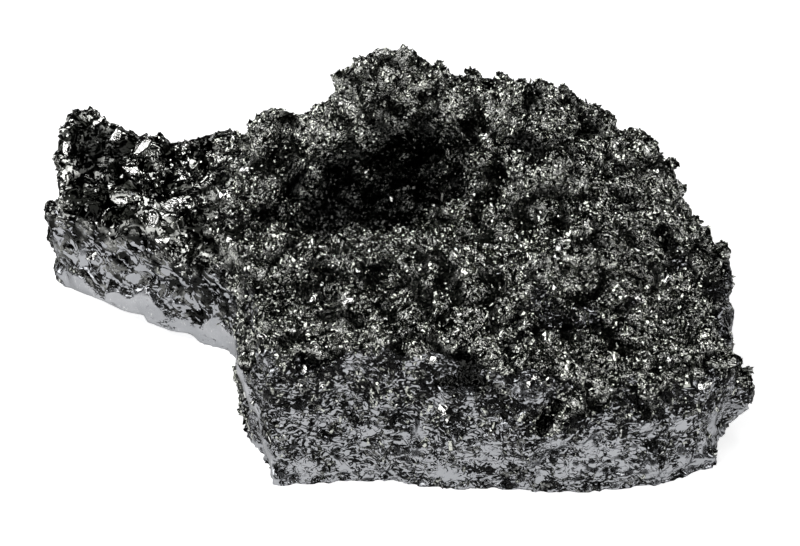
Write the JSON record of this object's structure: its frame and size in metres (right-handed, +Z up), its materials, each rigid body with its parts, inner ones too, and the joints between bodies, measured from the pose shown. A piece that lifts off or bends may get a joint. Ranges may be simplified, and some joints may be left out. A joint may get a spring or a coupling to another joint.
{
  "type": "raw boron chunk",
  "caption": "Rough lump of dark metallic polycrystalline boron with a flat foot, an arm at one side, a deep hollow and sparkling granular crystals.",
  "frame": {"origin": "on the ground under the middle of the lump's bounding box", "axes": "+X along the lump's length, from the end of its arm to the block; +Y from its front wall to its broken back; +Z up"},
  "size_m": [0.0576, 0.04, 0.0248],
  "materials": {
    "boron": "dark metallic crystalline, glossy facets"
  },
  "bodies": {
    "root": {"boron_chunk": "boron"}
  },
  "joints": []
}
